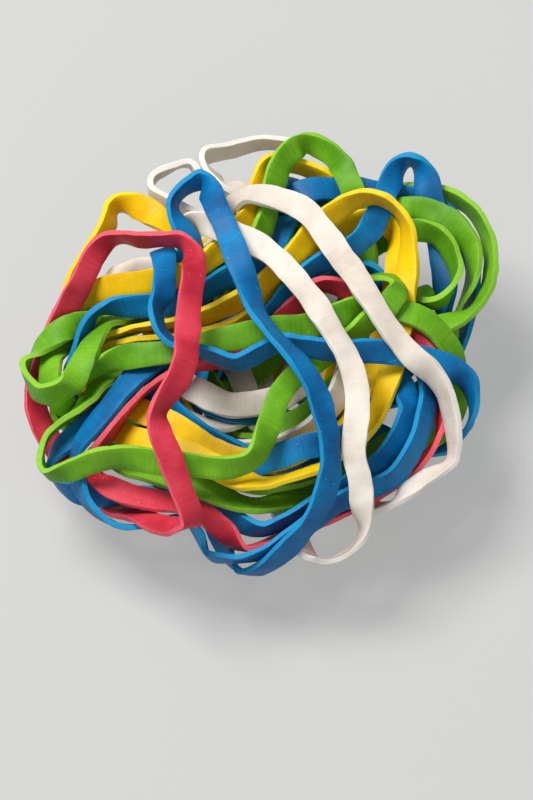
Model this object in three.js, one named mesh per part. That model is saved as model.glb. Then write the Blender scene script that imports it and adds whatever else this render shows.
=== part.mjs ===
// Rubber band ball: a loose ball of wide flat rubber bands in five colours.
// Every band is one moulded loop of rubber, 6 mm wide and 1.4 mm thick, and each
// is a solid of its own. They are thrown together, not wound on a core, so the
// ball is open: it rests on its lowest bands and light shows through it.
//
// Units are millimetres, +Z up. The finished ball stands on z = 0 with the middle
// of its box over the origin.
import * as THREE from 'three';

// ---- driving dimensions -------------------------------------------------------
const BAND_WIDTH = 6.0;
const BAND_THICKNESS = 1.4;
const BAND_GAP = 0.8;            // air kept between two bands that lie on each other
const RINGS_PER_BAND = 50;       // cross-sections along one band

// The heap is drawn as it looks from high in front of it. u runs to the right, v up
// the leaning drawing plane, and w out of that plane, toward the eye.
const VIEW_ELEVATION = THREE.MathUtils.degToRad(60);
const HEAP_HALF_WIDTH = 60;      // along u
const HEAP_HALF_HEIGHT = 56;     // along v
const HEAP_HALF_DEPTH = 31;      // along w, at the middle
const HEAP_EDGE_DEPTH = 0.36;    // share of that depth left at the rim of the heap
const HEAP_SLOPE = -0.38;        // how the middle of the heap falls along v
const FLOOR_BELOW_MIDDLE = 23;   // height of the heap's middle over the bench

// ---- finishes -----------------------------------------------------------------
const rubber = (colour) => new THREE.MeshStandardMaterial({
  color: colour, roughness: 0.55, metalness: 0,
});
const finishes = {
  red: rubber(0xd8344c),
  blue: rubber(0x0a7cc4),
  green: rubber(0x6cb52c),
  yellow: rubber(0xf2c200),
  white: rubber(0xeadfce),
};

// ---- routes -------------------------------------------------------------------
// A route is a closed list of [u, v, lift, roll]. lift 1 lies on the side of the
// heap toward the eye, -1 under it at the back. roll is the turn of the band about
// its own line in degrees: 0 shows the flat face, 90 the edge, and between them the
// edge left of the way of travel comes forward. Where roll is left out the band
// finds its own.
const routes = {
  red_band_1: ['red', [
    [-36, 28, 1.0, 75], [-29, 27, 1.1, 65], [-21, 27, 1.15, 65], [-17, 25, 1.2, 40],
    [-15, 21, 1.2, -10], [-17, 14, 1.2, -20], [-18, 8, 1.2, 0], [-17, 0, 1.2, 0],
    [-20, -7, 1.2, -10], [-25, -15, 1.2, -20], [-23, -22, 1.2, -10], [-20, -29, 1.2, -15],
    [-18, -35, 1.2, -20], [-16, -41, 1.2, -30], [-21, -43, 1.1, 60], [-28, -41, 0.6, 60],
    [-37, -35, 0], [-47, -27, 0], [-53, -19, 0.2, 30], [-55, -11, 0.3, 20],
    [-53, -4, 0.4, 35], [-48, 5, 0.5, 40], [-42, 17, 0.8, 35], [-39, 25, 1.0, 50]]],
  red_band_2: ['red', [
    [-41, -26, 0.3, 60], [-38, -22, 0.45, 50], [-34, -16, 0.5, 45], [-29, -9, 0.5, 40],
    [-22, -5, 0.5, 40], [-14, -3, 0.45, 60], [-5, -1, 0.4, 60], [2, 4, 0.3],
    [9, 12, 0.4, 45], [15, 17, 0.4, 45], [23, 15, 0.45, 45], [33, 6, 0.5, 40],
    [43, -5, 0.4, 20], [44, -14, 0.4, 10], [40, -24, 0.4, 25], [33, -32, 0.4, 40],
    [24, -36, 0.4, 45], [9, -42, 0.4, 50], [-4, -48, 0.45, 60], [-9, -43, 0.5, -30],
    [-14, -39, 0.5, 20], [-26, -36, 0.5, 10], [-34, -35, 0.45, 10], [-40, -31, 0.35, 40]]],
  white_band_1: ['white', [
    [-17, 32, 0.7, 30], [-11, 30, 0.85, 10], [-5, 28, 0.9, 0], [4, 23, 0.95, 0],
    [10, 15, 0.95, 0], [15, 9, 0.95, 0], [17, 4, 0.95, -50], [20, 0, 0.95, -40],
    [23, -7, 1.0, 0], [23, -15, 1.0, 0], [22, -24, 1.0, 0], [24, -32, 1.0, -10],
    [25, -38, 0.95, 20], [25, -43, 0.9, 60], [20, -49, 0.7, 60], [13, -50, 0.4, 70],
    [9, -46, 0.1], [4, -34, -0.3], [-1, -18, -0.5, 10], [-6, -8, -0.5, 10],
    [-11, 8, -0.4], [-18, 22, 0.1]]],
  white_band_2: ['white', [
    [-8, 33, 0.5], [-3, 37, 0.7, 20], [3, 38, 0.8, 10], [10, 36, 0.85, 10],
    [14, 31, 0.85, 0], [19, 24, 0.85, 0], [23, 19, 0.85, 10], [25, 15, 0.85, -45],
    [28, 10, 0.85, -50], [31, 5, 0.85, -45], [36, -1, 0.85, -15], [42, -5, 0.85, 30],
    [45, -11, 0.8, 50], [46, -20, 0.75, 60], [46, -26, 0.7, 60], [39, -30, 0.65, 45],
    [32, -34, 0.6, 45], [26, -37, 0.3], [12, -30, -0.3], [4, -17, -0.55, 10],
    [-1, -6, -0.6, 10], [-6, 12, -0.4], [-10, 26, 0]]],
  white_band_3: ['white', [
    [-14, 43, 0.5, 70], [-17, 47, 0.6, 60], [-22, 46, 0.6, 60], [-27, 42, 0.6, 60],
    [-26, 38, 0.6, 60], [-21, 36, 0.6, 60], [-14, 34.5, 0.55, 65], [-10, 32, 0.4, 75],
    [-10, 28, 0.25, 75], [-14, 24, 0.2, 50], [-22, 21, 0.2, 20], [-29, 20, 0.35, 20],
    [-36, 18, 0.2, 30], [-38, 8, -0.3],
    [-33, -4, -0.1], [-21, -13, 0.2, 35], [-14, -17, 0.25, 40], [-7, -18, 0.2, 40],
    [-1, -16, 0.1, 40], [6, -8, -0.4], [7, 12, -0.7], [1, 30, -0.6], [-8, 40, 0]]],
  white_band_4: ['white', [
    [-3, 39, 0.5, 60], [-9, 41, 0.6, 60], [-13, 44, 0.6, 60], [-14, 48, 0.5, 60],
    [-8, 50, 0.3, 60], [0, 52, 0.1, 60], [8, 52, 0.1, 60], [16, 51, 0.1, 60],
    [21, 47, 0.1, 60], [23, 42, 0.1], [20, 28, -0.3], [18, 8, -0.4],
    [14, -6, 0], [8, -12, 0.25, 40], [-1, -14, 0.3, 40], [-9, -13, 0.3, 40],
    [-16, -9, 0.3, 40], [-20, 2, -0.15], [-16, 20, -0.1], [-5, 29, -0.05],
    [1, 33, 0.1, 60], [1, 36.5, 0.3, 70]]],
  white_band_5: ['white', [
    [2, -23, 0.35, 40], [9, -20, 0.4, 40], [16, -15, 0.4, 40], [20, -9, 0.4, 45],
    [23, 2, 0], [22, 16, -0.5], [12, 29, -0.6], [-4, 30, -0.6],
    [-16, 18, -0.35], [-21, 0, -0.3], [-18, -16, -0.1], [-7, -24, 0.2]]],
  yellow_band_1: ['yellow', [
    [-36, 36, 0.8, 60], [-33, 37, 0.85, 45], [-28, 35, 0.9, 15], [-22, 31, 0.9, 10],
    [-20, 26, 0.8], [-17, 12, 0.2], [-19, -4, -0.3], [-26, -12, -0.4],
    [-36, -8, -0.3], [-44, 4, -0.1], [-47, 13, 0.2, 40], [-44, 20, 0.5, 45],
    [-40, 26, 0.65, 45], [-37, 32, 0.75, 55]]],
  yellow_band_2: ['yellow', [
    [-45, 6, 0.4, 30], [-43, 11, 0.55, 10], [-38, 15, 0.65, -10], [-29, 17, 0.7, -15],
    [-22, 19, 0.7, -10], [-13, 23, 0.65], [-6, 30, 0.6, 0], [-2, 35, 0.6, 10],
    [-1, 41, 0.6, 20], [2, 47, 0.5, 30], [9, 47, 0.3, 40], [15, 45, 0.2, 45],
    [20, 38, 0], [25, 24, -0.4], [19, 4, -0.7], [2, -8, -0.7], [-19, -11, -0.6],
    [-36, -5, -0.2]]],
  yellow_band_3: ['yellow', [
    [16, 31, 0.5, 30], [20, 35, 0.6, 20], [26, 37, 0.65, 20], [32, 35, 0.7, 40],
    [36, 30, 0.7, 55], [36, 20, 0.6, 60], [35, 12, 0.56, 55], [33, 3, 0.5],
    [30, -9, 0.45, 30], [25, -19, 0.5, 50], [20, -24, 0.55, 55], [9, -29, 0.6, 62],
    [-3, -31, 0.6, 58], [-12, -27, 0.55, 30], [-20, -22, 0.55, 45], [-30, -20, 0.5, 50],
    [-40, -16, 0.4, 50], [-44, -9, 0.3], [-42, 0, 0.3, 40], [-36, 6, 0.4, 40],
    [-27, 6, 0.45, 40], [-16, 8, 0.5, 40], [-5, 12, 0.5, 40], [3, 18, 0.5, 40],
    [9, 25, 0.5]]],
  yellow_band_4: ['yellow', [
    [17, 28, 0.35, 40], [21, 32, 0.4, 30], [26, 34, 0.45, 30], [31, 32, 0.45, 45],
    [33, 28, 0.45, 60], [33, 20, 0.45, 60], [32, 12, 0.4, 55], [30, 3, 0.35],
    [27, -8, 0.3, 35], [22, -16, 0.35, 40], [16, -21, 0.45, 50], [7, -25, 0.5, 58],
    [-3, -27, 0.45, 55], [-12, -24, 0.4, 40], [-20, -18, 0.4, 50], [-29, -16, 0.35, 50],
    [-37, -12, 0.25, 50], [-39, -6, 0.15], [-36, 1, 0.2, 40], [-27, 3, 0.3, 40],
    [-16, 4, 0.35, 40], [-4, 8, 0.35, 40], [5, 14, 0.35, 40], [11, 21, 0.35]]],
  yellow_band_5: ['yellow', [
    [3, -19, 0.2, 40], [10, -16, 0.25, 40], [16, -12, 0.25, 40], [19, -5, 0.2, 40],
    [22, 6, -0.1], [21, 22, -0.4], [9, 33, -0.4], [-8, 31, -0.4], [-21, 19, -0.35],
    [-25, 1, -0.25], [-18, -12, -0.1], [-7, -20, 0.1]]],
  blue_band_1: ['blue', [
    [-19, 22, 0.7, 55], [-20, 29, 0.85, 55], [-22, 35, 0.9, 55], [-20, 39, 0.95, 60],
    [-15, 42, 1.0, 50], [-12, 39, 1.05, 0], [-10, 33, 1.05, 0], [-7, 26, 1.05, 0],
    [-4, 18, 1.05, -10], [-2, 11, 1.05, -60], [3, 4, 1.05, -65], [8, -1, 1.05, -55],
    [12, -6, 1.05, -35], [15, -14, 1.05, -25], [17, -22, 1.05, -25], [16, -31, 1.05, -25],
    [13, -40, 1.0, -30], [7, -46, 0.9, -30], [0, -51, 0.6, -20], [-6, -51, 0.3],
    [-10, -44, 0.1], [-13, -30, -0.2], [-17, -10, -0.3], [-19, 8, 0.1]]],
  blue_band_2: ['blue', [
    [-22, 24, 0.95, 10], [-22, 16, 1.0, 0], [-25, 11, 0.95, -30], [-24, 5, 0.9, -45],
    [-20, 1, 0.85, -45], [-14, 0, 0.85, 55], [-6, -3, 0.85, 55], [-1, -1, 0.85, 50],
    [4, 2, 0.8, 45], [9, 2, 0.8, 50], [16, 0, 0.8, 55], [23, 0, 0.75, 40],
    [31, 1, 0.75, 20], [37, -1, 0.7, 0], [44, -3, 0.65, 0], [49, -6, 0.5, 10],
    [50, -14, 0.4, 30], [46, -20, 0.2], [34, -22, -0.5], [14, -12, -0.8],
    [-6, 4, -0.7], [-18, 18, 0.1], [-21, 25, 0.8]]],
  blue_band_3: ['blue', [
    [-46, -7, 0.25, 40], [-47, -2, 0.3, 30], [-44, 4, 0.4, 10], [-41, 8, 0.5, 0],
    [-34, 10, 0.55, -15], [-25, 11, 0.6, -15], [-14, 14, 0.5, 30], [-7, 19, 0.45, 30],
    [3, 21, 0.4], [13, 20, 0.35, 20], [20, 19, 0.35, 20], [27, 20, 0.35, 30],
    [32, 15, 0.3, 30], [34, 2, -0.2], [24, -16, -0.6], [-4, -22, -0.7],
    [-30, -18, -0.3], [-42, -13, 0.1]]],
  blue_band_4: ['blue', [
    [9, 38, 0.3, 40], [16, 40, 0.4, 50], [23, 41, 0.4, 50], [30, 40, 0.5, 45],
    [37, 39, 0.5, 45], [43, 37, 0.5, 40], [49, 30, 0.3, 50], [52, 20, 0.1, 60],
    [51, 8, 0, 60], [47, 0, -0.1], [36, -10, -0.5], [14, -8, -0.9], [1, 8, -0.9],
    [0, 26, -0.5]]],
  blue_band_5: ['blue', [
    [3, 10, 0.3, 30], [8, 16, 0.4, 30], [14, 22, 0.5, 40], [22, 25, 0.55, 40],
    [27, 30, 0.6, 30], [30, 38, 0.65, 20], [33, 45, 0.65, 30], [37, 47, 0.6, 60],
    [41, 43, 0.6, 30], [43, 35, 0.5, 20], [44, 25, 0.3, 30], [46, 14, 0.2, 40],
    [44, 6, 0], [34, -4, -0.4], [16, -18, -0.8], [-4, -18, -0.8], [-9, -4, -0.5],
    [-4, 4, 0]]],
  blue_band_6: ['blue', [
    [-31, -5, 0.55, 40], [-36, -11, 0.5, 40], [-42, -17, 0.45, 40], [-49, -22, 0.4, 50],
    [-51, -27, 0.3, 60], [-49, -32, 0.2, 60], [-43, -35, 0.2, 50], [-35, -34, 0.2, 50],
    [-26, -34, 0.15, 40], [-15, -35, 0.2, 30], [-7, -40, 0.3, 20], [1, -43, 0.4, 40],
    [8, -40, 0.4, 45], [14, -36, 0.4, 40], [21, -31, 0.5, 40], [28, -27, 0.6, 30],
    [33, -21, 0.6, 30], [36, -14, 0.6, 30], [34, -7, 0.5, 30], [28, 1, 0.2],
    [16, 12, -0.6], [-4, 14, -0.7], [-22, 3, 0.1]]],
  blue_band_7: ['blue', [
    [-28, -5, 0.6, 40], [-33, -10, 0.55, 40], [-38, -17, 0.5, 40], [-43, -23, 0.45, 50],
    [-45, -29, 0.45, 60], [-41, -37, 0.45, 60], [-34, -41, 0.45, 60], [-26, -40, 0.5, 60],
    [-18, -39, 0.45, 60], [-14, -44, 0.35, 50], [-12, -49, 0.4, 55], [-4, -50, 0.5, 60],
    [7, -45, 0.55, 60], [15, -39, 0.5, 50], [22, -34, 0.5, 40], [31, -31, 0.6, 40],
    [36, -25, 0.6, 35], [40, -16, 0.6, 30], [42, -7, 0.5, 30], [38, 3, 0.1],
    [24, 12, -0.7], [3, 14, -0.7], [-18, 4, 0]]],
  blue_band_8: ['blue', [
    [-24, -10, 0.4, 50], [-28, -15, 0.35, 50], [-27, -19, 0.3, 50], [-22, -23, 0.4, 50],
    [-16, -26, 0.45, 40], [-7, -30, 0.55, 20], [1, -26, 0.6, 0], [8, -23, 0.6, 0],
    [16, -21, 0.55, 10], [24, -16, 0.3], [29, -4, 0], [27, 14, -0.1],
    [20, 28, 0.1], [15, 36, 0.2, 30], [10, 41, 0.15, 30], [4, 43, 0.1], [-7, 28, -0.3],
    [-17, 10, -0.3], [-22, -3, 0.1]]],
  blue_band_9: ['blue', [
    [-22, -15, 0.35, 50], [-17, -18, 0.35, 50], [-11, -22, 0.35, 50], [-5, -24, 0.35, 50],
    [3, -28, 0.35, 60], [13, -25, 0.35, 60], [22, -18, 0.05], [26, -4, -0.2],
    [22, 12, -0.6], [8, 22, -0.9], [-10, 18, -0.8], [-22, 4, -0.5], [-25, -8, 0]]],
  blue_band_10: ['blue', [
    [7, 34, 0.3, 50], [5, 27, 0.35, 50], [1, 21, 0.35, 50], [-3, 17, 0.3, 40],
    [-11, 5, 0.1], [-16, -8, 0.1], [-12, -14, 0.15, 10], [-4, -16, 0.2, 10],
    [5, -16, 0.2, 40], [12, -13, 0.2, 40], [18, -6, 0], [23, 8, -0.25],
    [20, 26, -0.3], [13, 36, 0]]],
  green_band_1: ['green', [
    [-2, 23, 0.45, 40], [0, 29, 0.5, 50], [2, 34, 0.55, 50], [3, 41, 0.6, 30],
    [6, 48, 0.65, 30], [12, 51, 0.6, 20], [18, 48, 0.55, 30], [21, 43, 0.5, 40],
    [23, 37, 0.4], [25, 16, -0.3], [22, -1, -0.7], [11, -10, -0.8], [0, -5, -0.75],
    [-8, 9, -0.3]]],
  green_band_2: ['green', [
    [34, 34, 0.4, 20], [41, 35, 0.5, 10], [47, 32, 0.5, 20], [52, 27, 0.45, 30],
    [53, 19, 0.4, 40], [50, 13, 0.3, 40], [46, 4, 0.1], [45, -8, 0.1],
    [40, -19, 0.3, 30], [33, -27, 0.45, 20], [28, -29, 0.5, 10], [20, -33, 0.35, 40],
    [12, -35, 0.4, 40], [-4, -37, 0.45, 30], [-14, -33, 0.45, 10], [-21, -31, 0.3, 10],
    [-32, -28, 0.1, 20], [-37, -22, -0.2], [-24, -10, -0.6], [-4, 6, -0.7],
    [18, 22, -0.3]]],
  green_band_3: ['green', [
    [43, 39, 0.3, 50], [50, 37, 0.35, 50], [55, 31, 0.35, 50], [56, 23, 0.3, 50],
    [54, 15, 0.35, 50], [49, 9, 0.4, 45], [44, 6, 0.4, 40], [33, 1, 0.2],
    [20, -6, 0.25, 40], [13, -15, 0.3, 40], [3, -20, 0.3, 40], [-9, -14, -0.2],
    [-8, 8, -0.7], [10, 28, -0.7], [32, 39, -0.1]]],
  green_band_4: ['green', [
    [36, 31, 0.55, 20], [42, 30, 0.55, 30], [46, 26, 0.5, 40], [48, 19, 0.5, 50],
    [46, 14, 0.5, 50], [41, 12, 0.4, 50], [38, 15, 0.2], [39, 2, -0.1],
    [41, -10, 0.1], [37, -19, 0.35, 30], [31, -23, 0.4, 40], [22, -28, 0.3, 50],
    [10, -31, 0.35, 50], [0, -32, 0.3, 40], [-10, -28, 0.1], [-14, -10, -0.5],
    [5, 13, -0.65], [26, 26, -0.4]]],
  green_band_5: ['green', [
    [-48, -14, 0.6, 50], [-52, -19, 0.7, 65], [-53, -25, 0.8, 70], [-51, -29, 0.85, 70],
    [-46, -29, 0.85, 60], [-40, -26, 0.85, 50], [-33, -25, 0.85, 45], [-26, -26, 0.85, 10],
    [-17, -27, 0.85, 0], [-8, -28, 0.85, 0], [-1, -25, 0.85, 0], [2, -17, 0.8, 0],
    [5, -9, 0.75, 0], [10, -4, 0.7, 20], [16, 0, 0.6, 40], [21, 4, 0.6, 50],
    [26, 8, 0.65, 40], [31, 11, 0.75, 10], [34, 15, 0.8, 0], [31, 19, 0.7, 40],
    [21, 19, 0.35], [2, 13, -0.4], [-18, 5, -0.5], [-34, -1, -0.1], [-42, -9, 0.4]]],
  green_band_6: ['green', [
    [-46, -19, 0.25], [-49, -15, 0.4, 50], [-47, -12, 0.5, 40], [-42, -10, 0.55, 20],
    [-39, -5, 0.6, 20], [-34, -2, 0.65, 20], [-28, -2, 0.7, 10], [-20, 0, 0.75, 0],
    [-9, 3, 0.75, 0], [0, 5, 0.75, 0], [12, 6, 0.7, 0], [19, 8, 0.7, 0],
    [27, 11, 0.55, 0], [35, 9, 0.55, 0], [42, 5, 0.55, 0], [46, 0, 0.5, 10],
    [48, -9, 0.4, 20], [46, -16, 0.3], [32, -24, -0.3], [8, -24, -0.8],
    [-20, -20, -0.7], [-38, -20, -0.2]]],
  green_band_7: ['green', [
    [-46, 7, 0.6, 40], [-50, 3, 0.7, 60], [-54, 1, 0.75, 70], [-56.5, -3, 0.8, 75],
    [-55, -8, 0.85, 70], [-51, -10.5, 0.85, 60], [-46, -9, 0.85, 30],
    [-43, -4, 0.8, 0], [-41, 2, 0.6, 20], [-36, 9, 0.3], [-14, 18, -0.05],
    [6, 30, -0.2], [12, 32, -0.25], [8, 26, -0.5], [-10, 14, -0.5], [-32, 8, 0.1]]],
  green_band_8: ['green', [
    [-45, 4, 0.45, 40], [-49, -1, 0.5, 50], [-49, -6, 0.6, 50], [-47, -11, 0.6],
    [-38, -14, 0.1], [-18, -12, -0.4], [2, -2, -0.6], [14, 13, -0.5],
    [2, 20, -0.55], [-18, 13, -0.5], [-36, 6, 0]]],
};

// ---- the drawing plane and the heap -------------------------------------------
const risePerV = Math.cos(VIEW_ELEVATION);
const risePerW = Math.sin(VIEW_ELEVATION);

// Middle and half depth of the heap under a point of the drawing plane.
function heapAt(u, v) {
  const inside = 1 - (u / HEAP_HALF_WIDTH) ** 2 - (v / HEAP_HALF_HEIGHT) ** 2;
  const share = Math.max(HEAP_EDGE_DEPTH, Math.sqrt(Math.max(0, inside)));
  return { middle: HEAP_SLOPE * v, half: HEAP_HALF_DEPTH * share };
}

// From the drawing plane to the bench: the plane leans back by the view elevation.
function onBench([u, v, w]) {
  return new THREE.Vector3(
    u,
    v * risePerW - w * risePerV,
    v * risePerV + w * risePerW + FLOOR_BELOW_MIDDLE,
  );
}

// ---- one band's line and turn -------------------------------------------------
const SAMPLES_PER_ROUTE = 600;
const BEND_WEIGHT = 4;           // mm of extra ring spacing saved per radian of bend

// Rest shape of a band: ring centres and the direction across its width.
function traceRoute(points) {
  const knots = points.map(([u, v, lift]) => {
    const { middle, half } = heapAt(u, v);
    return new THREE.Vector3(u, v, middle + lift * half);
  });
  const curve = new THREE.CatmullRomCurve3(knots, true, 'centripetal');
  const count = SAMPLES_PER_ROUTE;
  const centre = [];
  for (let i = 0; i < count; i++) centre.push(curve.getPoint(i / count));
  const at = (i) => centre[((i % count) + count) % count];
  const along = centre.map((_, i) => at(i + 1).clone().sub(at(i - 1)).normalize());

  // A frame carried round the loop without twist.
  const side = [new THREE.Vector3(0, 0, 1).cross(along[0]).normalize()];
  for (let i = 1; i <= count; i++) {
    const t = along[i % count];
    const s = side[i - 1].clone();
    side.push(s.addScaledVector(t, -s.dot(t)).normalize());
  }
  const turnOf = (i, direction) => {
    const t = along[i % count];
    const up = t.clone().cross(side[i]);
    return Math.atan2(direction.dot(up), direction.dot(side[i]));
  };

  // Turn of the band at each knot that states a roll.
  const marks = [];
  points.forEach((point, k) => {
    if (point.length < 4) return;
    const i = Math.round((k / points.length) * count) % count;
    const roll = THREE.MathUtils.degToRad(point[3]);
    const t = along[i];
    const inPlane = new THREE.Vector3(t.x, t.y, 0).normalize();
    const left = new THREE.Vector3(-inPlane.y, inPlane.x, 0);
    const across = left.multiplyScalar(Math.cos(roll));
    across.z += Math.sin(roll);
    across.addScaledVector(t, -across.dot(t)).normalize();
    marks.push({ i, turn: turnOf(i, across) });
  });
  const first = marks[0];
  const holonomy = turnOf(count, side[0]);
  marks.push({ i: first.i + count, turn: first.turn + holonomy });
  const half = Math.PI;
  for (let m = 1; m < marks.length; m++) {
    const gap = marks[m].turn - marks[m - 1].turn;
    marks[m].turn -= Math.round(gap / half) * half;
  }
  // A whole loop turns by full turns only, so an odd half turn goes into the
  // longest stretch that states no roll.
  const last = marks[marks.length - 1];
  const halfTurns = Math.round((last.turn - first.turn - holonomy) / half);
  if (halfTurns % 2 !== 0) {
    let widest = 1;
    for (let m = 2; m < marks.length; m++) {
      const span = marks[m].i - marks[m - 1].i;
      if (span > marks[widest].i - marks[widest - 1].i) widest = m;
    }
    const shift = marks[widest].turn > marks[widest - 1].turn ? -half : half;
    for (let m = widest; m < marks.length; m++) marks[m].turn += shift;
  }
  const turnAt = (i) => {
    let j = i;
    let offset = 0;
    if (j < first.i) {
      j += count;
      offset = holonomy;
    }
    let m = 1;
    while (marks[m].i < j) m++;
    const a = marks[m - 1];
    const b = marks[m];
    const x = (j - a.i) / Math.max(1, b.i - a.i);
    return a.turn + (b.turn - a.turn) * x * x * (3 - 2 * x) - offset;
  };

  // Rings stand closer together where the line bends.
  const weight = centre.map((c, i) => {
    const step = at(i + 1).distanceTo(c);
    const bend = along[i].angleTo(along[(i + 1) % count]);
    return step + BEND_WEIGHT * bend;
  });
  const total = weight.reduce((a, b) => a + b, 0);
  const rings = [];
  let passed = 0;
  let next = 0;
  for (let i = 0; i < count && rings.length < RINGS_PER_BAND; i++) {
    if (passed >= next) {
      const a = turnAt(i);
      const up = along[i].clone().cross(side[i]);
      const across = side[i].clone().multiplyScalar(Math.cos(a));
      across.addScaledVector(up, Math.sin(a));
      rings.push({ centre: centre[i].clone(), across });
      next += total / RINGS_PER_BAND;
    }
    passed += weight[i];
  }
  return rings;
}

// ---- settling the heap --------------------------------------------------------
// The drawn bands would run through each other where they cross. They start as thin
// lines, which meet nowhere, and grow to their full width and thickness while every
// band pushes on the bands it meets, keeps its width and its length along both
// edges, and stays near its route.
const THREAD_RADIUS = BAND_THICKNESS / 2;
const THREAD_SPAN = BAND_WIDTH - BAND_THICKNESS;   // between the two edge threads
const THREADS_ACROSS = 5;
const BEAD_STEP = 1.5;           // spacing of the contact beads along a band
const CONTACT = BAND_THICKNESS + BAND_GAP;
const SELF_CONTACT_REACH = 16;   // a band may touch itself only this far along
const SHARE_AT_START = 0.03;     // of the full width
const GROW_STEPS = 320;
const HOLD_STEPS = 140;
const FREE_STEPS = 320;
const FREE_FIRMNESS = 0.06;      // of a band's resistance to stretch while it frees itself
const DRAW_IN_PLANE = 0.012;     // share of the way back to its route at each step,
const DRAW_IN_DEPTH = 0.006;     // across the line of sight and along it
const PUSH_SPREAD = 0.1;         // share of a shift passed on to the neighbouring rings
const ALONG_STIFFNESS = 0.3;     // of the springs along a band's edges, and
const BRACE_STIFFNESS = 0.15;    // of those on the diagonals between them
const PUSH_GAIN = 1.5;           // contact pushes are a little overdone, and
const LEAST_WEIGHT = 0.6;        // divided by at least this share of a node
const MOST_BEADS_ALONG = 780;    // on one band, for the size of the bead tables
const FLAT_WITHIN = 0.25;        // a ring this near to lying flat on the bench does so

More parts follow.
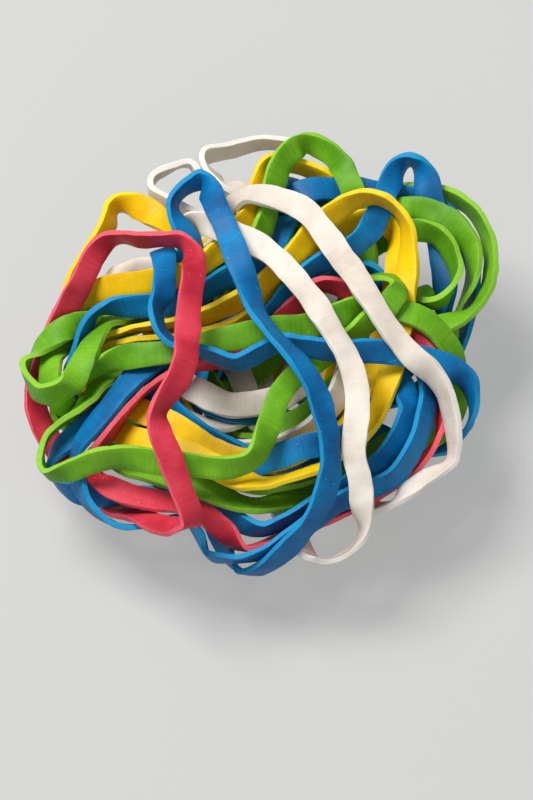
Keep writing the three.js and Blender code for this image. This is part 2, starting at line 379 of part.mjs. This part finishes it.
function settle(bands) {
  const ringCount = RINGS_PER_BAND;
  const nodes = bands.length * ringCount * 2;
  const pos = new Float64Array(nodes * 3);
  const home = new Float64Array(nodes * 3);     // centre of the node's ring
  const offset = new Float64Array(nodes * 3);   // from there to the node, full grown
  const push = new Float64Array(nodes * 3);
  const weight = new Float64Array(nodes);
  bands.forEach((band, b) => {
    band.rings.forEach((ring, r) => {
      for (const edge of [0, 1]) {
        const k = ((b * ringCount + r) * 2 + edge) * 3;
        const reach = (edge === 0 ? 0.5 : -0.5) * THREAD_SPAN;
        ring.centre.toArray(home, k);
        ring.across.clone().multiplyScalar(reach).toArray(offset, k);
      }
    });
  });

  // Length springs: across each ring, along both edges and on both diagonals.
  const springs = [];
  bands.forEach((band, b) => {
    for (let r = 0; r < ringCount; r++) {
      const after = (r + 1) % ringCount;
      const here = (b * ringCount + r) * 2;
      const next = (b * ringCount + after) * 2;
      const step = band.rings[r].centre.distanceTo(band.rings[after].centre);
      springs.push([here, here + 1, 0, THREAD_SPAN, 1]);
      springs.push([here, next, step, 0, ALONG_STIFFNESS]);
      springs.push([here + 1, next + 1, step, 0, ALONG_STIFFNESS]);
      springs.push([here, next + 1, step, THREAD_SPAN, BRACE_STIFFNESS]);
      springs.push([here + 1, next, step, THREAD_SPAN, BRACE_STIFFNESS]);
    }
  });

  const pull = (i, j, length, stiffness) => {
    const a = i * 3;
    const c = j * 3;
    const dx = pos[c] - pos[a];
    const dy = pos[c + 1] - pos[a + 1];
    const dz = pos[c + 2] - pos[a + 2];
    const d = Math.hypot(dx, dy, dz) || 1e-9;
    const f = (stiffness * 0.5 * (d - length)) / d;
    pos[a] += dx * f; pos[a + 1] += dy * f; pos[a + 2] += dz * f;
    pos[c] -= dx * f; pos[c + 1] -= dy * f; pos[c + 2] -= dz * f;
  };

  // Contact beads: each is a blend of the four edge points round it.
  let beadCount = 0;
  const capacity = bands.length * MOST_BEADS_ALONG * THREADS_ACROSS;
  const bead = new Float64Array(capacity * 3);
  const beadBand = new Int32Array(capacity);
  const beadRing = new Int32Array(capacity);
  const beadAlong = new Float64Array(capacity);
  const beadMix = new Float64Array(capacity);
  const beadArc = new Float64Array(capacity);
  const bandLength = new Float64Array(bands.length);
  const placeBeads = () => {
    beadCount = 0;
    for (let b = 0; b < bands.length; b++) {
      let arc = 0;
      for (let r = 0; r < ringCount; r++) {
        const h = (b * ringCount + r) * 6;
        const n = (b * ringCount + ((r + 1) % ringCount)) * 6;
        const left = Math.hypot(pos[n] - pos[h], pos[n + 1] - pos[h + 1], pos[n + 2] - pos[h + 2]);
        const right = Math.hypot(
          pos[n + 3] - pos[h + 3], pos[n + 4] - pos[h + 4], pos[n + 5] - pos[h + 5],
        );
        const steps = Math.max(1, Math.ceil(Math.max(left, right) / BEAD_STEP));
        for (let s = 0; s < steps; s++) {
          const x = s / steps;
          for (let m = 0; m < THREADS_ACROSS; m++) {
            const y = m / (THREADS_ACROSS - 1);
            for (let a = 0; a < 3; a++) {
              bead[beadCount * 3 + a] = (1 - x) * ((1 - y) * pos[h + a] + y * pos[h + 3 + a])
                + x * ((1 - y) * pos[n + a] + y * pos[n + 3 + a]);
            }
            beadBand[beadCount] = b;
            beadRing[beadCount] = r;
            beadAlong[beadCount] = x;
            beadMix[beadCount] = y;
            beadArc[beadCount] = arc + x * (left + right) / 2;
            beadCount++;
          }
        }
        arc += (left + right) / 2;
      }
      bandLength[b] = arc;
    }
  };

  const give = (i, fx, fy, fz) => {
    const b = beadBand[i];
    const r = beadRing[i];
    const x = beadAlong[i];
    const y = beadMix[i];
    const h = (b * ringCount + r) * 2;
    const n = (b * ringCount + ((r + 1) % ringCount)) * 2;
    const shares = [(1 - x) * (1 - y), (1 - x) * y, x * (1 - y), x * y];
    const corners = [h, h + 1, n, n + 1];
    for (let c = 0; c < 4; c++) {
      const k = corners[c] * 3;
      push[k] += fx * shares[c];
      push[k + 1] += fy * shares[c];
      push[k + 2] += fz * shares[c];
      weight[corners[c]] += shares[c];
    }
  };

  let head = new Int32Array(0);
  const chain = new Int32Array(capacity);
  const separate = (contact) => {
    placeBeads();
    push.fill(0);
    weight.fill(0);
    const low = [Infinity, Infinity, Infinity];
    const high = [-Infinity, -Infinity, -Infinity];
    for (let i = 0; i < beadCount * 3; i++) {
      const a = i % 3;
      if (bead[i] < low[a]) low[a] = bead[i];
      if (bead[i] > high[a]) high[a] = bead[i];
    }
    const nx = Math.floor((high[0] - low[0]) / CONTACT) + 3;
    const ny = Math.floor((high[1] - low[1]) / CONTACT) + 3;
    const nz = Math.floor((high[2] - low[2]) / CONTACT) + 3;
    if (head.length < nx * ny * nz) head = new Int32Array(nx * ny * nz);
    head.fill(-1);
    for (let i = 0; i < beadCount; i++) {
      const cx = Math.floor((bead[i * 3] - low[0]) / CONTACT) + 1;
      const cy = Math.floor((bead[i * 3 + 1] - low[1]) / CONTACT) + 1;
      const cz = Math.floor((bead[i * 3 + 2] - low[2]) / CONTACT) + 1;
      for (let gx = cx - 1; gx <= cx + 1; gx++) {
        for (let gy = cy - 1; gy <= cy + 1; gy++) {
          for (let gz = cz - 1; gz <= cz + 1; gz++) {
            for (let j = head[(gx * ny + gy) * nz + gz]; j >= 0; j = chain[j]) {
              const dx = bead[i * 3] - bead[j * 3];
              const dy = bead[i * 3 + 1] - bead[j * 3 + 1];
              const dz = bead[i * 3 + 2] - bead[j * 3 + 2];
              const d2 = dx * dx + dy * dy + dz * dz;
              if (d2 >= contact * contact) continue;
              if (beadBand[i] === beadBand[j]) {
                const span = Math.abs(beadArc[i] - beadArc[j]);
                const around = Math.min(span, bandLength[beadBand[i]] - span);
                if (around < SELF_CONTACT_REACH) continue;
              }
              const d = Math.sqrt(d2) || 1e-6;
              const f = (0.5 * (contact - d)) / d;
              give(i, dx * f, dy * f, dz * f);
              give(j, -dx * f, -dy * f, -dz * f);
            }
          }
        }
      }
      const g = (cx * ny + cy) * nz + cz;
      chain[i] = head[g];
      head[g] = i;
    }
    for (let i = 0; i < nodes; i++) {
      if (weight[i] === 0) continue;
      const f = PUSH_GAIN / Math.max(LEAST_WEIGHT, weight[i]);
      for (let a = 0; a < 3; a++) pos[i * 3 + a] += push[i * 3 + a] * f;
    }
  };

  // Keeps the corners of each ring off the bench.
  const bench = -FLOOR_BELOW_MIDDLE;
  const heightOf = (i) => pos[i * 3 + 1] * risePerV + pos[i * 3 + 2] * risePerW;
  const raise = (i, by) => {
    pos[i * 3 + 1] += by * risePerV;
    pos[i * 3 + 2] += by * risePerW;
  };
  const clearanceOf = (i) => {
    const lean = Math.min(1, Math.abs(heightOf(i) - heightOf(i + 1)) / THREAD_SPAN);
    return THREAD_RADIUS * (lean + Math.sqrt(1 - lean * lean));
  };
  const keepOffFloor = () => {
    for (let i = 0; i < nodes; i += 2) {
      const lowest = bench + clearanceOf(i);
      for (const node of [i, i + 1]) {
        if (heightOf(node) < lowest) raise(node, lowest - heightOf(node));
      }
    }
  };
  // Rings that all but lie on the bench are laid flat on it.
  const layFlat = () => {
    const resting = bench + THREAD_RADIUS;
    for (let i = 0; i < nodes; i += 2) {
      const high = Math.max(heightOf(i), heightOf(i + 1));
      if (high > resting + FLAT_WITHIN) continue;
      raise(i, resting - heightOf(i));
      raise(i + 1, resting - heightOf(i + 1));
    }
  };

  // Smooths the shift of a band from its route, so a push spreads along it.
  const spread = (share, grown) => {
    const shift = new Float64Array(ringCount);
    for (let b = 0; b < bands.length; b++) {
      for (let line = 0; line < 6; line++) {
        const start = b * ringCount * 6 + line;
        for (let r = 0; r < ringCount; r++) {
          const k = start + r * 6;
          shift[r] = pos[k] - home[k] - offset[k] * grown;
        }
        for (let r = 0; r < ringCount; r++) {
          const before = shift[(r + ringCount - 1) % ringCount];
          const after = shift[(r + 1) % ringCount];
          pos[start + r * 6] += share * ((before + after) / 2 - shift[r]);
        }
      }
    }
  };

  const anchor = (inPlane, outOfPlane, grown) => {
    for (let k = 0; k < nodes * 3; k++) {
      const share = k % 3 === 2 ? outOfPlane : inPlane;
      pos[k] += share * (home[k] + offset[k] * grown - pos[k]);
    }
  };

  for (let k = 0; k < nodes * 3; k++) pos[k] = home[k] + offset[k] * SHARE_AT_START;
  const stepCount = GROW_STEPS + HOLD_STEPS + FREE_STEPS;
  for (let step = 0; step < stepCount; step++) {
    const grown = Math.min(1, SHARE_AT_START + step / GROW_STEPS);
    if (step < GROW_STEPS + HOLD_STEPS) {
      anchor(DRAW_IN_PLANE, DRAW_IN_DEPTH, grown);
      spread(PUSH_SPREAD, grown);
    }
    const firmness = step < GROW_STEPS + HOLD_STEPS ? 1 : FREE_FIRMNESS;
    for (const [i, j, run, span, stiffness] of springs) {
      pull(i, j, Math.hypot(run, span * grown), run === 0 ? stiffness : stiffness * firmness);
    }
    keepOffFloor();
    separate(CONTACT * Math.min(1, grown * 2));
  }
  layFlat();
  bands.forEach((band, b) => {
    band.edges = [];
    for (let r = 0; r < ringCount; r++) {
      const k = (b * ringCount + r) * 6;
      band.edges.push([
        new THREE.Vector3(pos[k], pos[k + 1], pos[k + 2]),
        new THREE.Vector3(pos[k + 3], pos[k + 4], pos[k + 5]),
      ]);
    }
  });
}

// ---- one band's solid ---------------------------------------------------------
const MITRE_LIMIT = 1.4;

// Four corners to a ring, swept round the loop and closed on itself.
function bandGeometry(edges) {
  const count = edges.length;
  const middle = edges.map(([a, b]) => a.clone().add(b).multiplyScalar(0.5));
  const corners = [];
  edges.forEach(([a, b], r) => {
    const before = middle[r].clone().sub(middle[(r + count - 1) % count]).normalize();
    const after = middle[(r + 1) % count].clone().sub(middle[r]).normalize();
    const along = before.clone().add(after).normalize();
    const across = a.clone().sub(b);
    across.addScaledVector(along, -across.dot(along)).normalize();
    const normal = along.clone().cross(across).normalize();
    const mitre = Math.min(MITRE_LIMIT, 1 / Math.max(0.5, along.dot(after)));
    for (const [w, n] of [[1, 1], [-1, 1], [-1, -1], [1, -1]]) {
      const corner = middle[r].clone();
      corner.addScaledVector(across, (w * BAND_WIDTH) / 2);
      corner.addScaledVector(normal, (n * mitre * BAND_THICKNESS) / 2);
      const placed = onBench(corner.toArray());
      placed.z = Math.max(placed.z, 0);
      corners.push(placed);
    }
  });
  const index = [];
  for (let r = 0; r < count; r++) {
    for (let c = 0; c < 4; c++) {
      const a = r * 4 + c;
      const b = r * 4 + ((c + 1) % 4);
      const d = ((r + 1) % count) * 4 + c;
      const e = ((r + 1) % count) * 4 + ((c + 1) % 4);
      index.push(a, b, e, a, e, d);
    }
  }
  const geometry = new THREE.BufferGeometry();
  const flat = corners.flatMap((p) => p.toArray());
  geometry.setAttribute('position', new THREE.Float32BufferAttribute(flat, 3));
  geometry.setIndex(index);
  return geometry;
}

// ---- the ball -----------------------------------------------------------------
const bands = Object.entries(routes).map(([name, [finish, points]]) => (
  { name, finish, rings: traceRoute(points) }));
settle(bands);

const ball = new THREE.Group();
for (const { name, finish, edges } of bands) {
  const mesh = new THREE.Mesh(bandGeometry(edges), finishes[finish]);
  mesh.name = name;
  ball.add(mesh);
}

// Stand the ball with the middle of its box over the origin.
const box = new THREE.Box3().setFromObject(ball);
const centreOfBox = box.getCenter(new THREE.Vector3());
ball.position.set(-centreOfBox.x, -centreOfBox.y, 0);

export default ball;
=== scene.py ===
import math

import bmesh
import bpy
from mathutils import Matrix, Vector


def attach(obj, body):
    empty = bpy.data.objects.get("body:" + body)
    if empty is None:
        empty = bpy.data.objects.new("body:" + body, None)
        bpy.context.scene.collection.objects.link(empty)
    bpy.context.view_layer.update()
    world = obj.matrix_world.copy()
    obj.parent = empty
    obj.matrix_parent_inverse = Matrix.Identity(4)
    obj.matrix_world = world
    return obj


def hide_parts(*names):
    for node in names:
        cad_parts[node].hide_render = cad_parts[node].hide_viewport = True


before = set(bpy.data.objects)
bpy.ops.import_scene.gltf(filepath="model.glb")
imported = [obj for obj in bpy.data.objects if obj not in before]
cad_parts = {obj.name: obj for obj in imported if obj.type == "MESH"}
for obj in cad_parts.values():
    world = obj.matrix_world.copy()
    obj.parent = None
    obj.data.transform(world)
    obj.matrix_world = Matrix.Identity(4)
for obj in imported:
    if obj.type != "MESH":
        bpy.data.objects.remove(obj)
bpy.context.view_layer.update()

# ---- Red bands ----
# Two loops of red rubber, the larger lying over the front of the ball. Each is sliced
# from a long moulded tube, so it has two smooth flat faces and two narrow cut edges.
# Nothing fastens it: it is held only by the bands it is tangled with.
RED_BANDS = 2
MM = 0.001
BAND_WIDTH = 6.0 * MM
SECTION_CORNERS = 4
MERGE_WITHIN = 0.002 * MM
BEND_TIGHTENING = 0.22      # makes up for what the subdivision rounds off each bend
SMOOTHING_LEVELS = 2
UNEVENNESS = 0.3 * MM
UNEVEN_PATCH = 5.5 * MM
WANDER = 1.7 * MM           # half of it either way, for both faces and all bands alike
WANDER_PATCH = 11 * MM
CORNER_ROUNDING = 0.13 * MM
CORNER_SEGMENTS = 2
CORNER_ANGLE = math.radians(50)


def straight_on(edge, vert):
    """The edge that carries straight on past a vertex where six edges meet."""
    loop = next(loop for loop in edge.link_loops if loop.vert == vert)
    for _ in range(3):
        loop = loop.link_loop_prev.link_loop_radial_next
    return loop.edge


def steps_round(edge):
    """How many edges a straight walk along this one passes before it comes back."""
    vert, step, count = edge.verts[0], edge, 0
    while count == 0 or step != edge:
        step = straight_on(step, vert)
        vert = step.other_vert(vert)
        count += 1
    return count


def next_side(loop):
    """From a rail's loop to the same ring's next rail, round the cross-section."""
    return loop.link_loop_prev.link_loop_prev.link_loop_radial_next


def next_ring(loop):
    """From a rail's loop to the loop that follows it along the same rail."""
    return loop.link_loop_next.link_loop_radial_next.link_loop_next


def is_rail(loop):
    """A rail runs along the band, so four sides on from it the walk is back."""
    step = loop
    for _ in range(SECTION_CORNERS):
        step = next_side(step)
    return step == loop


def four_sided(bm):
    """Takes out the diagonals: their straight walk is the longest round the band."""
    ring_count = len(bm.verts) // SECTION_CORNERS
    diagonals = [edge for edge in bm.edges if steps_round(edge) > ring_count]
    bmesh.ops.dissolve_edges(bm, edges=diagonals, use_verts=False)


def mark_band(bm):
    """Gives every side of the band a map of metres along and across it, marks its cut
    edges, creases its rails, and draws each bend a little tighter."""
    lengthwise = bm.loops.layers.uv.new("lengthwise")
    cut_edge = bm.faces.layers.float.new("cut_edge")
    crease = bm.edges.layers.float.new("crease_edge")
    start = next(loop for face in bm.faces for loop in face.loops if is_rail(loop))
    if start.link_loop_prev.edge.calc_length() < BAND_WIDTH / 2:
        start = next_side(start)
    tightened = {}
    rail, along = start, 0.0
    while along == 0.0 or rail != start:
        further = along + rail.edge.calc_length()
        loop = rail
        for side in range(SECTION_CORNERS):
            ahead, across_ahead, across = (
                loop.link_loop_next, loop.link_loop_next.link_loop_next, loop.link_loop_prev)
            width = across.edge.calc_length()
            loop[lengthwise].uv = (along, 0)
            ahead[lengthwise].uv = (further, 0)
            across_ahead[lengthwise].uv = (further, width)
            across[lengthwise].uv = (along, width)
            loop.face[cut_edge] = side % 2
            loop.edge[crease] = 1
            middle = (loop.vert.co + next_ring(loop).link_loop_next.vert.co) / 2
            tightened[ahead.vert] = ahead.vert.co.lerp(middle, -BEND_TIGHTENING)
            loop = next_side(loop)
        rail, along = next_ring(rail), further
    for vert, place in tightened.items():
        vert.co = place


def finish_band(band):
    """Smooths the band along its length, makes it wander and a little uneven, and
    takes the sharpness off its corners."""
    smoothing = band.modifiers.new("smooth_run", "SUBSURF")
    smoothing.levels = smoothing.render_levels = SMOOTHING_LEVELS
    strays = bpy.data.textures.new(band.name + "_strays", "CLOUDS")
    strays.cloud_type = "COLOR"
    strays.noise_scale = WANDER_PATCH
    wander = band.modifiers.new("wander", "DISPLACE")
    wander.texture = strays
    wander.direction = "RGB_TO_XYZ"
    wander.strength = WANDER
    patches = bpy.data.textures.new(band.name + "_patches", "CLOUDS")
    patches.noise_scale = UNEVEN_PATCH
    uneven = band.modifiers.new("uneven", "DISPLACE")
    uneven.texture = patches
    uneven.strength = UNEVENNESS
    corners = band.modifiers.new("soft_corners", "BEVEL")
    corners.width = CORNER_ROUNDING
    corners.segments = CORNER_SEGMENTS
    corners.limit_method = "ANGLE"
    corners.angle_limit = CORNER_ANGLE
    corners.harden_normals = True


def rubber_band(node, material):
    """Makes one band's finished surface from its CAD solid, and puts it in its place."""
    bm = bmesh.new()
    bm.from_mesh(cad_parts[node].data)
    bmesh.ops.remove_doubles(bm, verts=bm.verts, dist=MERGE_WITHIN)
    four_sided(bm)
    mark_band(bm)
    for face in bm.faces:
        face.smooth = True
    mesh = bpy.data.meshes.new(node + "_rubber")
    bm.to_mesh(mesh)
    bm.free()
    mesh.materials.append(material)
    band = bpy.data.objects.new(node + "_rubber", mesh)
    bpy.context.scene.collection.objects.link(band)
    finish_band(band)
    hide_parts(node)
    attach(band, "root")


def wire_in(tree, socket, value):
    """Links a socket or sets a plain value on it."""
    if isinstance(value, bpy.types.NodeSocket):
        tree.links.new(value, socket)
    else:
        socket.default_value = value


def noise(tree, place, scale, detail):
    node = tree.nodes.new("ShaderNodeTexNoise")
    tree.links.new(place, node.inputs["Vector"])
    node.inputs["Scale"].default_value = scale
    node.inputs["Detail"].default_value = detail
    return node.outputs["Fac"]


def stretched(tree, place, scale):
    node = tree.nodes.new("ShaderNodeMapping")
    tree.links.new(place, node.inputs["Vector"])
    node.inputs["Scale"].default_value = scale
    return node.outputs["Vector"]


def maths(tree, operation, first, second):
    node = tree.nodes.new("ShaderNodeMath")
    node.operation = operation
    wire_in(tree, node.inputs[0], first)
    wire_in(tree, node.inputs[1], second)
    return node.outputs["Value"]


def ramp(tree, share, stops):
    node = tree.nodes.new("ShaderNodeValToRGB")
    tree.links.new(share, node.inputs["Fac"])
    elements = node.color_ramp.elements
    while len(elements) < len(stops):
        elements.new(1.0)
    for element, (position, colour) in zip(elements, stops):
        element.position = position
        element.color = (*colour, 1)
    return node.outputs["Color"]


def blend(tree, kind, share, under, over):
    node = tree.nodes.new("ShaderNodeMixRGB")
    node.blend_type = kind
    wire_in(tree, node.inputs["Fac"], share)
    wire_in(tree, node.inputs["Color1"], under)
    wire_in(tree, node.inputs["Color2"], over)
    return node.outputs["Color"]


MOTTLE_SCALE, MOTTLE_DETAIL = 95, 5   # clouds of tone about a centimetre across
MOTTLE_DARK, MOTTLE_MIDDLE, MOTTLE_LIGHT = 0.3, 0.5, 0.72
MOTTLE_ROUGHNESS = 0.22          # how much rougher the light clouds are than the dark
GRAIN_SCALE, GRAIN_DETAIL = 2600, 3
GRAIN_TONE, GRAIN_HEIGHT = 0.18, 0.35
DIE_MARK_SCALE, DIE_MARK_DETAIL = (1500, 45, 1), 4   # drawn out across the band
DIE_MARK_TONE, DIE_MARK_HEIGHT = 0.22, 0.6
BLADE_MARK_SCALE, BLADE_MARK_DETAIL = (2400, 300, 1), 3
PAINTED_CUT_HIGHLIGHT = 0.28              # painted highlight on the cut edges, before the blade marks add to it
CUT_ROUGHNESS = 0.12
DARK_MARK, LIGHT_MARK = (0.25, 0.25, 0.25), (0.75, 0.75, 0.75)
MARK_FROM, MARK_TO = 0.3, 0.7
POWDER = (0.9, 0.9, 0.88, 1)
POWDER_COVER = 0.35
POWDER_GRAIN_SCALE, POWDER_GRAIN_SIZE = 780, 0.1
POWDER_PATCH_SCALE, POWDER_PATCH_DETAIL, POWDER_PATCH_FROM = 160, 4, 0.58
RELIEF, RELIEF_STRENGTH = 0.06 * MM, 0.45
GLOW, GLOW_DEPTH = 0.06, 0.8 * MM   # light that goes into the rubber and out again
SHEEN_OF_SURFACE = 0.28


def rubber(name, deep, body, light, cut_and_highlight, roughness):
    """Moulded rubber: mottled in tone, marked across by the die, rougher and streaked by the
    blade on the cut edges, which carry a painted highlight that makes them paler, and
    dusted with a trace of the powder that stops it sticking."""
    material = bpy.data.materials.new(name)
    material.use_nodes = True
    tree = material.node_tree
    shader = tree.nodes["Principled BSDF"]
    place = tree.nodes.new("ShaderNodeTexCoord").outputs["Object"]
    lengthwise = tree.nodes.new("ShaderNodeUVMap")
    lengthwise.uv_map = "lengthwise"
    cut_mark = tree.nodes.new("ShaderNodeAttribute")
    cut_mark.attribute_name = "cut_edge"
    on_cut = cut_mark.outputs["Fac"]

    mottle = noise(tree, place, MOTTLE_SCALE, MOTTLE_DETAIL)
    grain = noise(tree, place, GRAIN_SCALE, GRAIN_DETAIL)
    die_place = stretched(tree, lengthwise.outputs["UV"], DIE_MARK_SCALE)
    die_marks = noise(tree, die_place, 1, DIE_MARK_DETAIL)
    blade_place = stretched(tree, lengthwise.outputs["UV"], BLADE_MARK_SCALE)
    blade_marks = noise(tree, blade_place, 1, BLADE_MARK_DETAIL)

    tones = [(MOTTLE_DARK, deep), (MOTTLE_MIDDLE, body), (MOTTLE_LIGHT, light)]
    colour = ramp(tree, mottle, tones)
    marked = [(MARK_FROM, DARK_MARK), (MARK_TO, LIGHT_MARK)]
    die_tone = ramp(tree, die_marks, marked)
    colour = blend(tree, "OVERLAY", DIE_MARK_TONE, colour, die_tone)
    grain_tone = ramp(tree, grain, marked)
    colour = blend(tree, "OVERLAY", GRAIN_TONE, colour, grain_tone)
    # The cut edges are mixed towards the pale cut colour: a painted highlight on the narrow
    # rims, streaked by the blade marks.
    blade_marks_and_highlight = maths(tree, "MULTIPLY", on_cut, maths(tree, "ADD", blade_marks, PAINTED_CUT_HIGHLIGHT))
    colour = blend(tree, "MIX", blade_marks_and_highlight, colour, (*cut_and_highlight, 1))

    powder_grains = tree.nodes.new("ShaderNodeTexVoronoi")
    tree.links.new(place, powder_grains.inputs["Vector"])
    powder_grains.inputs["Scale"].default_value = POWDER_GRAIN_SCALE
    in_grain = maths(tree, "LESS_THAN", powder_grains.outputs["Distance"], POWDER_GRAIN_SIZE)
    patches = noise(tree, place, POWDER_PATCH_SCALE, POWDER_PATCH_DETAIL)
    in_patch = maths(tree, "GREATER_THAN", patches, POWDER_PATCH_FROM)
    powdered = maths(tree, "MULTIPLY", in_grain, in_patch)
    colour = blend(tree, "MIX", maths(tree, "MULTIPLY", powdered, POWDER_COVER), colour, POWDER)
    tree.links.new(colour, shader.inputs["Base Color"])

    rough = maths(tree, "MULTIPLY", mottle, MOTTLE_ROUGHNESS)
    rough = maths(tree, "ADD", rough, roughness - MOTTLE_ROUGHNESS / 2)
    rough = maths(tree, "ADD", rough, maths(tree, "MULTIPLY", on_cut, CUT_ROUGHNESS))
    tree.links.new(rough, shader.inputs["Roughness"])

    height = maths(tree, "MULTIPLY", die_marks, DIE_MARK_HEIGHT)
    height = maths(tree, "ADD", height, maths(tree, "MULTIPLY", grain, GRAIN_HEIGHT))
    height = maths(tree, "ADD", height, maths(tree, "MULTIPLY", blade_marks, on_cut))
    relief = tree.nodes.new("ShaderNodeBump")
    relief.inputs["Strength"].default_value = RELIEF_STRENGTH
    relief.inputs["Distance"].default_value = RELIEF
    tree.links.new(height, relief.inputs["Height"])
    tree.links.new(relief.outputs["Normal"], shader.inputs["Normal"])

    shader.inputs["Subsurface Weight"].default_value = GLOW
    shader.inputs["Subsurface Radius"].default_value = (1, 1, 1)
    shader.inputs["Subsurface Scale"].default_value = GLOW_DEPTH
    shader.inputs["Specular IOR Level"].default_value = SHEEN_OF_SURFACE
    return material


red_rubber = rubber(
    "red_rubber", deep=(0.46, 0.014, 0.034), body=(0.62, 0.032, 0.06),
    light=(0.76, 0.06, 0.1), cut_and_highlight=(0.86, 0.13, 0.17), roughness=0.55)
for number in range(1, RED_BANDS + 1):
    rubber_band(f"red_band_{number}", red_rubber)

# ---- White bands ----
# Five loops of undyed rubber, cream where the light falls on them: two cross the front
# of the ball, two make the open loops at its top left, and one lies deep inside. They
# are cut from tube like the others and lie loose.
WHITE_BANDS = 5

white_rubber = rubber(
    "white_rubber", deep=(0.68, 0.59, 0.49), body=(0.8, 0.72, 0.63),
    light=(0.88, 0.82, 0.74), cut_and_highlight=(0.92, 0.87, 0.8), roughness=0.58)
for number in range(1, WHITE_BANDS + 1):
    rubber_band(f"white_band_{number}", white_rubber)

# ---- Yellow bands ----
# Five loops of deep yellow rubber, cut from tube: a small loop at the top left, a wide
# strip across the back, a nested pair right round the ball, and one inside them.
YELLOW_BANDS = 5

yellow_rubber = rubber(
    "yellow_rubber", deep=(0.72, 0.41, 0.0), body=(0.88, 0.54, 0.0),
    light=(0.97, 0.64, 0.0), cut_and_highlight=(1.0, 0.74, 0.03), roughness=0.52)
for number in range(1, YELLOW_BANDS + 1):
    rubber_band(f"yellow_band_{number}", yellow_rubber)

# ---- Blue bands ----
# Ten loops of blue rubber, cut from tube, the most of any colour. The tall one lies
# over the front, one crosses it from side to side, and the rest make the lower rim,
# the top right and the dark middle. One of them carries the ball on the bench.
BLUE_BANDS = 10

blue_rubber = rubber(
    "blue_rubber", deep=(0.0, 0.085, 0.26), body=(0.0, 0.15, 0.4),
    light=(0.0, 0.23, 0.53), cut_and_highlight=(0.01, 0.31, 0.62), roughness=0.52)
for number in range(1, BLUE_BANDS + 1):
    rubber_band(f"blue_band_{number}", blue_rubber)

# ---- Green bands ----
# Eight loops of bright green rubber, cut from tube: the arch at the top, the nested
# loops at the right, two long strips across the front and small loops at the left.
GREEN_BANDS = 8

green_rubber = rubber(
    "green_rubber", deep=(0.09, 0.3, 0.006), body=(0.15, 0.42, 0.012),
    light=(0.22, 0.52, 0.02), cut_and_highlight=(0.31, 0.63, 0.05), roughness=0.55)
for number in range(1, GREEN_BANDS + 1):
    rubber_band(f"green_band_{number}", green_rubber)

# ---- Bench ----
# A sheet of matt translucent acrylic that the ball lies on, with a faint painted glow of
# its own in place of a lamp beneath, so that shadows on it stay weak.
BENCH_SIDE = 4.0
ACRYLIC, ACRYLIC_ROUGHNESS = (0.31, 0.31, 0.305, 1), 0.9
PAINTED_GLOW, PAINTED_GLOW_STRENGTH = (1, 1, 0.995, 1), 0.32

bench_bm = bmesh.new()
bmesh.ops.create_grid(bench_bm, x_segments=1, y_segments=1, size=BENCH_SIDE / 2)
bench_mesh = bpy.data.meshes.new("bench")
bench_bm.to_mesh(bench_mesh)
bench_bm.free()
bench = bpy.data.objects.new("bench", bench_mesh)
bpy.context.scene.collection.objects.link(bench)
acrylic = bpy.data.materials.new("pale_acrylic")
acrylic.use_nodes = True
acrylic_shader = acrylic.node_tree.nodes["Principled BSDF"]
acrylic_shader.inputs["Base Color"].default_value = ACRYLIC
acrylic_shader.inputs["Roughness"].default_value = ACRYLIC_ROUGHNESS
# Painted glow: the bench gives off light of its own, which weakens the shadows on it.
acrylic_shader.inputs["Emission Color"].default_value = PAINTED_GLOW
acrylic_shader.inputs["Emission Strength"].default_value = PAINTED_GLOW_STRENGTH
bench_mesh.materials.append(acrylic)

# ---- Studio light ----
# One large soft box high on the left and a little behind, a wide weak one in front,
# and a pale room all round.
KEY_PLACE, KEY_SIZE, KEY_POWER, KEY_COLOUR = (-0.5, 0.3, 1.2), 0.6, 18.5, (1.0, 0.99, 0.97)
FRONT_PLACE, FRONT_SIZE, FRONT_POWER, FRONT_COLOUR = (0.3, -1.0, 1.1), 1.1, 4, (0.97, 0.98, 1.0)
ROOM_COLOUR, ROOM_STRENGTH = (0.93, 0.95, 1, 1), 0.2


def soft_box(name, place, size, power, colour):
    """A square lamp that faces the middle of the bench."""
    data = bpy.data.lights.new(name, "AREA")
    data.shape = "SQUARE"
    data.size = size
    data.energy = power
    data.color = colour
    lamp = bpy.data.objects.new(name, data)
    lamp.location = place
    lamp.rotation_euler = (-Vector(place)).to_track_quat("-Z", "Y").to_euler()
    bpy.context.scene.collection.objects.link(lamp)


soft_box("key", KEY_PLACE, KEY_SIZE, KEY_POWER, KEY_COLOUR)
soft_box("front", FRONT_PLACE, FRONT_SIZE, FRONT_POWER, FRONT_COLOUR)
room = bpy.data.worlds.new("pale_room")
room.use_nodes = True
room.node_tree.nodes["Background"].inputs["Color"].default_value = ROOM_COLOUR
room.node_tree.nodes["Background"].inputs["Strength"].default_value = ROOM_STRENGTH
bpy.context.scene.world = room
bpy.context.scene.view_settings.view_transform = "Standard"

# ---- Camera ----
# It looks down on the front of the ball from 60 degrees above the bench through a
# long lens, so that near and far bands come out almost the same size.
VIEW_ELEVATION = math.radians(60)
VIEW_DISTANCE = 1.3
NEAREST_SEEN = 0.05
VIEW_HEIGHT = 196 * MM                 # what the view takes in, top to bottom
SENSOR = 36                            # in millimetres, along the view's long side
AIM = Vector((1.4, -8.1, 17.2)) * MM   # just in front of the ball's middle

lens_and_sensor = bpy.data.cameras.new("camera")
lens_and_sensor.sensor_width = SENSOR
lens_and_sensor.lens = SENSOR * VIEW_DISTANCE / VIEW_HEIGHT
lens_and_sensor.clip_start = NEAREST_SEEN
camera = bpy.data.objects.new("camera", lens_and_sensor)
back = Vector((0, -math.cos(VIEW_ELEVATION), math.sin(VIEW_ELEVATION)))
camera.location = AIM + back * VIEW_DISTANCE
camera.rotation_euler = (math.pi / 2 - VIEW_ELEVATION, 0, 0)
bpy.context.scene.collection.objects.link(camera)
bpy.context.scene.camera = camera
